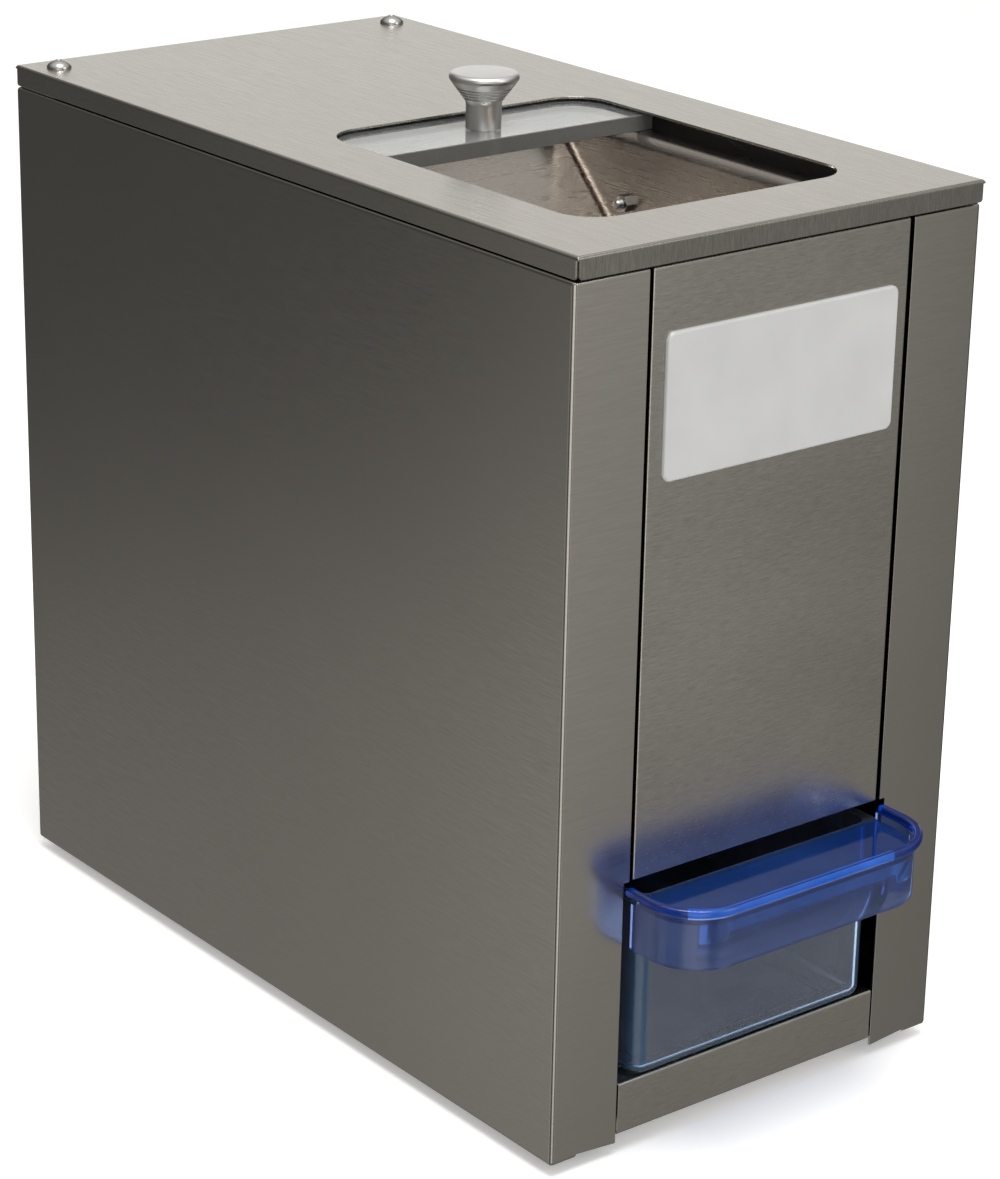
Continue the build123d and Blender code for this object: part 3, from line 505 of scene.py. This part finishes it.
low, high = corners("hopper_bolts")
wall = corners("hopper_nuts")[1].x
bolt_mesh = bmesh.new()
nut_mesh = bmesh.new()
for side in (-1, 1):
    inward = Vector((-side, 0, 0))
    for y in (low.y + bolt_inset, high.y - bolt_inset):
        place = Vector((side * wall, y, (low.z + high.z) / 2))
        turned(bolt_mesh, place, bolt_profile, inward, 24)
        turned(nut_mesh, place, washer_profile, inward)
        hexagon(nut_mesh, place + inward * nut_middle, nut_height)
        hexagon(bolt_mesh, Vector((side * (high.x - bolt_head_height / 2), y, place.z)), bolt_head_height)
make_piece("hopper_bolt_set", bolt_mesh, "casing", ["hopper_bolts"], [fastener_steel],
           sharp=30)
make_piece("hopper_nut_set", nut_mesh, "casing", ["hopper_nuts"], [fastener_steel],
           sharp=30)


# Hopper and chamber
# Sheets of 1.5 mm stainless steel that lead the ice down to the rotor, and the chute
# below it. Each side wall is bent over at the top and screwed under a guide rail.

hopper_steel = brushed_steel("hopper_steel", (0.47, 0.425, 0.385), (0.02, 0.02, 0.0008), 0.27,
                             contrast=0.02, depth=0.0000005, spread=0.012)
coat(hopper_steel, "hopper_front_wall", "discharge_chute")
hopper_sheet = 0.0015
flange_bend = 0.005
wall_end = 0.236
slant_drop = 0.0148
slant_normal = (0, 0.707, -0.707)


def hopper_wall(node, side):
    """Upright sheet whose top is bent out into a flange; side is -1 on the left."""
    low, high = corners(node)
    wall = low.x if side > 0 else high.x
    rim = high.x if side > 0 else low.x
    front = corners("hopper_front_wall")[1].y
    back = low.y + wall_end
    slant = Vector((0, back, high.z - slant_drop))
    mesh = bmesh.new()
    start = mesh.verts.new((wall, low.y, low.z))
    turn = mesh.verts.new((wall, low.y, high.z))
    end = mesh.verts.new((rim, low.y, high.z))
    strip = [mesh.edges.new((start, turn)), mesh.edges.new((turn, end))]
    shift(mesh, bmesh.ops.extrude_edge_only(mesh, edges=strip), (0, high.y - low.y, 0))
    mesh.normal_update()
    if mesh.faces[:][0].normal.x * side > 0:
        bmesh.ops.reverse_faces(mesh, faces=mesh.faces[:])
    round_edges(mesh, folds(mesh), flange_bend, 7)
    for place in (front, back):
        cut(mesh, (0, place, 0), (0, 1, 0))
    drop_faces(mesh, lambda face: abs(face.calc_center_median().x - wall) < flange_bend - 0.0001
               and not front < face.calc_center_median().y < back)
    cut(mesh, slant, slant_normal)
    drop_faces(mesh, lambda face: (face.calc_center_median() - slant).dot(slant_normal) > 0
               and abs(face.calc_center_median().x - wall) < 0.0001)
    make_piece(node + "_sheet", mesh, "casing", [node], [hopper_steel], hopper_sheet,
               crisp_edge)


hopper_wall("hopper_left_wall", -1)
hopper_wall("hopper_right_wall", 1)

# The slope is one sheet in three runs, with its sloping side edges turned down.
slope_run = 0.0897
slope_lip = 0.006
low, high = corners("hopper_slope")
mesh = bmesh.new()
outline = [mesh.verts.new((low.x, y, z)) for y, z in ((high.y, high.z), (low.y + slope_run, high.z),
                                                      (low.y, high.z - slope_run), (low.y, low.z))]
strip = [mesh.edges.new(pair) for pair in zip(outline, outline[1:])]
shift(mesh, bmesh.ops.extrude_edge_only(mesh, edges=strip), (high.x - low.x, 0, 0))
mesh.normal_update()
if sum(face.normal.z for face in mesh.faces) < 0:
    bmesh.ops.reverse_faces(mesh, faces=mesh.faces[:])
    mesh.normal_update()
slanted = [face for face in mesh.faces if 0.5 < abs(face.normal.z) < 0.9][0]
sides = [edge for edge in slanted.edges if len(edge.link_faces) == 1]
shift(mesh, bmesh.ops.extrude_edge_only(mesh, edges=sides), (0, slope_lip, -slope_lip))
mesh.normal_update()
round_edges(mesh, folds(mesh, 80), 0.003, 5)
round_edges(mesh, folds(mesh, 40), 0.002, 4)
make_piece("hopper_slope_sheet", mesh, "casing", ["hopper_slope"], [hopper_steel],
           hopper_sheet, crisp_edge)


# Frame
# Two upright steel plates that carry the rotor, with the folded brackets under the
# cover and the shelf that the drawer slides on.

frame_steel = turned_metal("frame_steel", (0.36, 0.36, 0.35), (0.48, 0.48, 0.47), 0.38, 0.004)
coat(frame_steel, "frame_plate_left", "frame_plate_right", "cover_brackets", "drawer_shelf")


# Crushing rotor
# Steel knives and spacer rings on a turned shaft, which runs in a bearing and a cast
# housing at each end. The knives pass between the teeth of the fixed comb.

shaft_steel = turned_metal("shaft_steel", (0.38, 0.38, 0.38), (0.5, 0.5, 0.5), 0.22)
knife_steel = turned_metal("knife_steel", (0.33, 0.33, 0.33), (0.52, 0.52, 0.51), 0.3)
bearing_steel = turned_metal("bearing_steel", (0.3, 0.3, 0.31), (0.45, 0.45, 0.46), 0.2)
cast_housing = rough_plastic("cast_housing", (0.16, 0.165, 0.17), (0.24, 0.245, 0.25), 0.5, 0.0012, 0.0001)
coat(shaft_steel, "rotor_shaft", "rotor_spacers")
coat(knife_steel, "rotor_knives", "stator_comb")
coat(bearing_steel, "rotor_bearings")
coat(cast_housing, "bearing_housings")


# Gears
# Steel spur gears in two stages, from the motor's pinion over the idler to the rotor.
# They run under a deep cast cover that is screwed to the right frame plate.

gear_steel = turned_metal("gear_steel", (0.26, 0.25, 0.23), (0.38, 0.37, 0.35), 0.34)
coat(gear_steel, "rotor_gear", "idler_pinion", "idler_gear", "motor_pinion")
coat(shaft_steel, "idler_shaft")
coat(cast_housing, "gearbox_cover")


# Motor
# Electric motor screwed to the right frame plate by its cast flange: painted housing,
# wound stator, rotor on its shaft, plastic fan, cast end bell and capacitor.

motor_paint = rough_plastic("motor_paint", (0.05, 0.06, 0.075), (0.075, 0.085, 0.1), 0.4, 0.0015, 0.00006)
winding_stack = rough_plastic("winding_stack", (0.10, 0.045, 0.02), (0.2, 0.09, 0.04), 0.45, 0.0012, 0.0002)
rotor_stack = turned_metal("rotor_stack", (0.16, 0.16, 0.16), (0.26, 0.26, 0.26), 0.4)
fan_plastic = rough_plastic("fan_plastic", (0.03, 0.03, 0.03), (0.05, 0.05, 0.05), 0.5)
capacitor_can = turned_metal("capacitor_can", (0.6, 0.6, 0.6), (0.75, 0.75, 0.75), 0.35)
coat(motor_paint, "motor_housing")
coat(shaft_steel, "motor_shaft")
coat(cast_housing, "motor_flange", "motor_end_bell")
coat(winding_stack, "motor_stator")
coat(rotor_stack, "motor_rotor")
coat(fan_plastic, "motor_fan")
coat(capacitor_can, "capacitor")


# Electrical parts
# Wiring box, safety switch of the cover, mains switch and cable gland, all moulded in
# black plastic. The switch button and the rocker are smoother than the boxes.

electrical_plastic = rough_plastic("electrical_plastic", (0.018, 0.018, 0.019), (0.03, 0.03, 0.031), 0.45)
button_plastic = rough_plastic("button_plastic", (0.02, 0.02, 0.021), (0.034, 0.034, 0.035), 0.35)
coat(electrical_plastic, "terminal_box", "cover_switch_body", "rocker_switch_body", "cable_gland")
coat(button_plastic, "cover_switch_plunger", "rocker")


# Guide rails
# Two black plastic channels that the clear plate slides in, screwed up under the cover
# from the hopper's flanges, with a bar and two blocks that end its travel.

rail_plastic = rough_plastic("rail_plastic", (0.012, 0.012, 0.013), (0.02, 0.02, 0.021), 0.32)
coat(rail_plastic, "left_guide_rail", "right_guide_rail", "slide_stops")


# Sliding plate and knob
# A clear acrylic plate, sawn across at its ends, that slides in the guide rails. Its
# knob is turned from aluminium with four grooves, and screwed on from below.

clear_acrylic, tree, shader = start_material("clear_acrylic", {"Transmission Weight": 0.92, "IOR": 1.49})
tint(tree, shader, noise(tree, (0.05, 0.05, 0.05), 2.0), (0.93, 0.96, 0.95), (0.97, 0.985, 0.98))
vary_roughness(tree, shader, noise(tree, (0.01, 0.01, 0.01)), 0.01, 0.05)
sawn_edge, tree, shader = start_material("sawn_acrylic_edge", {"Transmission Weight": 0.65, "IOR": 1.49})
marks = noise(tree, (0.0004, 0.0004, 0.004), 3.0)
tint(tree, shader, marks, (0.27, 0.262, 0.245), (0.36, 0.35, 0.33))
vary_roughness(tree, shader, marks, 0.35, 0.5)
bump(tree, shader, marks, 0.00005)

plate_edge = 0.0005
low, high = corners("slide_plate")
mesh = box_mesh(low, high)
round_edges(mesh, folds(mesh), plate_edge, 2)
for face in mesh.faces:
    face.material_index = 1 if abs(face.normal.y) > 0.9 else 0
make_piece("acrylic_slide_plate", mesh, "cover_plate", ["slide_plate"],
           [clear_acrylic, sawn_edge], sharp=60)

knob_aluminium = turned_metal("knob_aluminium", (0.66, 0.655, 0.645), (0.68, 0.675, 0.665), 0.36, 0.0003,
                              0.000001)
low, high = corners("slide_knob")
tall = high.z - low.z
stem = 0.00865
head = 0.0170
flare_start = 0.0125
flare_slope = 0.75
grooves = []
for level in (0.0150, 0.0166, 0.0182, 0.0198):
    reach = stem + (level - flare_start) * flare_slope
    grooves += [(reach - 0.0003, level - 0.0004), (reach - 0.0010, level - 0.0003),
                (reach - 0.0009, level + 0.0003), (reach + 0.0003, level + 0.0004)]
knob_profile = ((0, 0), (stem, 0), (stem, 0.0115), (stem + 0.0003, 0.0128), *grooves, (head - 0.0005, 0.0232),
                (head, 0.0240), (head, 0.0252), (head - 0.0004, 0.0261), (head - 0.0012, 0.0267),
                (head - 0.0024, tall - 0.0003), (0.007, tall), (0, tall))
mesh = bmesh.new()
turned(mesh, Vector(((low.x + high.x) / 2, (low.y + high.y) / 2, low.z)), knob_profile, steps=128)
make_piece("turned_knob", mesh, "cover_plate", ["slide_knob"], [knob_aluminium], sharp=35)


# Top cover
# Shallow pan folded from the same steel, with the filling opening cut in it, held by
# two screws. The grain runs front to back, upright on the end lips, level on the sides.
# The front and back lips carry painted shade: a darker copy of the steel.

cover_steel = brushed_steel("cover_steel", steel_tone, (0.0004, 0.014, 0.014), 0.27, (1.0, 0.0, 0.0), 0.018,
                            0.000004)
# Painted shade: the front and back lips get this copy of the steel at 0.72 of its tone.
front_lip_shade_tone = [channel * 0.72 for channel in steel_tone]
front_lip_shaded_steel = brushed_steel("cover_front_lip_shaded_steel", front_lip_shade_tone, (0.0005, 0.005, 0.005), 0.27,
                                (1.0, 0.0, 0.0), 0.16)
lip_steel = brushed_steel("cover_lip_steel", steel_tone, (0.012, 0.014, 0.0006), 0.25)
opening_side = 0.040
opening_front = 0.044
opening_back = 0.211
opening_radius = 0.020
cover_bend = 0.0017
lip_end = 0.0013
lip_corner = 0.0015

low, high = corners("top_cover")
mesh = bmesh.new()


def flat_outline(x0, x1, y0, y1, z, radius=0.0):
    """Adds the edges of a rectangle, with rounded corners when a radius is given."""
    centre = Matrix.Translation(((x0 + x1) / 2, (y0 + y1) / 2, z))
    place = centre @ Matrix.Diagonal((x1 - x0, y1 - y0, 1.0, 1.0))
    made = bmesh.ops.create_grid(mesh, x_segments=1, y_segments=1, size=0.5, matrix=place)
    if radius:
        bmesh.ops.bevel(mesh, geom=made["verts"], offset=radius, segments=12, profile=0.5, affect="VERTICES",
                        material=-1)


flat_outline(low.x + opening_side, high.x - opening_side, low.y + opening_front, high.y - opening_back,
             high.z, opening_radius)
flat_outline(low.x, high.x, low.y, high.y, high.z)
bmesh.ops.delete(mesh, geom=mesh.faces[:], context="FACES_ONLY")
bmesh.ops.triangle_fill(mesh, use_beauty=True, use_dissolve=False, edges=mesh.edges[:], normal=(0, 0, 1))
cut(mesh, (0, 0, high.z), (1, 0, 0))
clean(mesh)
if sum(face.normal.z for face in mesh.faces) < 0:
    bmesh.ops.reverse_faces(mesh, faces=mesh.faces[:])


def from_side(point):
    return abs(abs(point.x) - high.x)


def from_front_or_back(point):
    return min(point.y - low.y, high.y - point.y)


border = [edge for edge in mesh.edges if len(edge.link_faces) == 1
          and all(from_side(vert.co) < 1e-5 or from_front_or_back(vert.co) < 1e-5 for vert in edge.verts)]
shift(mesh, bmesh.ops.extrude_edge_only(mesh, edges=border), (0, 0, low.z - high.z))
mesh.normal_update()
round_edges(mesh, [edge for edge in border if edge.is_valid], cover_bend)
for x in (low.x + lip_end, high.x - lip_end):
    cut(mesh, (x, 0, 0), (1, 0, 0))
for y in (low.y + lip_end, high.y - lip_end):
    cut(mesh, (0, y, 0), (0, 1, 0))
lip_top = high.z - cover_bend - 0.0002
cut(mesh, (0, 0, lip_top), (0, 0, 1))


def in_corner(point):
    return from_side(point) < lip_end and from_front_or_back(point) < lip_end and point.z < lip_top


drop_faces(mesh, lambda face: in_corner(face.calc_center_median()))
clean(mesh)
lip_ends = [vert for vert in mesh.verts if vert.co.z < low.z + touching
            and from_side(vert.co) < 0.002 and from_front_or_back(vert.co) < 0.002]
bmesh.ops.bevel(mesh, geom=lip_ends, offset=lip_corner, segments=4, profile=0.5, affect="VERTICES",
                material=-1)
mesh.normal_update()
cover_steels = [cover_steel, lip_steel, front_lip_shaded_steel]
# Lips that face front or back take the darker copy with the painted shade.
for face in mesh.faces:
    if abs(face.normal.x) > 0.7:
        face.material_index = cover_steels.index(lip_steel)
    elif abs(face.normal.y) > 0.7:
        face.material_index = cover_steels.index(front_lip_shaded_steel)
make_piece("cover_pan", mesh, "casing", ["top_cover"], cover_steels, sheet, crisp_edge)


# Ice drawer
# Open bin with a hollow grip in front, moulded in one piece of clear blue plastic. Five
# copies of it carry painted shade, deepest in the rim of the grip and palest in the bin,
# and a lighter cyan painted highlight along the bends of the bin.

def blue_plastic(name, dark, light, clear, low=0.03, high=0.09):
    """Coloured plastic in soft clouds between two tints; clear is the share of light let through."""
    material, tree, shader = start_material(name, {"Transmission Weight": clear, "IOR": 1.49})
    tint(tree, shader, noise(tree, (0.04, 0.04, 0.04), 2.0), dark, light)
    vary_roughness(tree, shader, noise(tree, (0.01, 0.01, 0.01)), low, high)
    return material


bin_plastic = blue_plastic("bin_plastic", (0.50, 0.56, 0.70), (0.56, 0.62, 0.76), 0.95)
# The bends of the bin get a lighter cyan copy: painted highlight.
bin_bend_highlight_plastic = blue_plastic("bin_bend_highlight_plastic", (0.30, 0.53, 0.84), (0.35, 0.58, 0.90), 0.95)
# Skirt, ledge and rim of the grip get ever deeper copies: painted shade.
skirt_shaded_plastic = blue_plastic("skirt_shaded_plastic", (0.19, 0.28, 0.62), (0.23, 0.33, 0.69), 0.92)
ledge_shaded_plastic = blue_plastic("ledge_shaded_plastic", (0.03, 0.12, 0.50), (0.05, 0.16, 0.58), 0.86)
rim_shaded_plastic = blue_plastic("rim_shaded_plastic", (0.0, 0.035, 0.34), (0.003, 0.05, 0.42), 0.80, 0.02, 0.05)
blues = [bin_plastic, bin_bend_highlight_plastic, skirt_shaded_plastic, ledge_shaded_plastic, rim_shaded_plastic]
rim_height = 0.0045
ledge_depth = 0.010
skirt_height = 0.031
skirt_back = 0.0415
grip_back = 0.0435

mesh = bmesh.new()
mesh.from_mesh(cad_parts["ice_drawer"].data)
bmesh.ops.remove_doubles(mesh, verts=mesh.verts[:], dist=2e-6)
clean(mesh)
low, high = corners("ice_drawer")
cut(mesh, (0, low.y + grip_back, 0), (0, 1, 0))
mesh.normal_update()


def blue_of(face):
    """Copy of the plastic, with its painted shade or highlight, for one face of the drawer, from its place
    and the way it looks.
    """
    point = face.calc_center_median()
    in_grip = point.y < low.y + grip_back
    bent = max(abs(number) for number in face.normal) <= 0.99
    if in_grip and point.z > high.z - rim_height:
        return rim_shaded_plastic
    if in_grip and abs(face.normal.z) > 0.9 and point.z > high.z - ledge_depth:
        return ledge_shaded_plastic
    if in_grip and point.z > high.z - skirt_height - 0.001 and point.y < low.y + skirt_back:
        return skirt_shaded_plastic
    if bent and point.z < high.z - skirt_height:
        return bin_bend_highlight_plastic
    return bin_plastic


for face in mesh.faces:
    face.material_index = blues.index(blue_of(face))
make_piece("moulded_drawer", mesh, "drawer", ["ice_drawer"], blues, sharp=32)
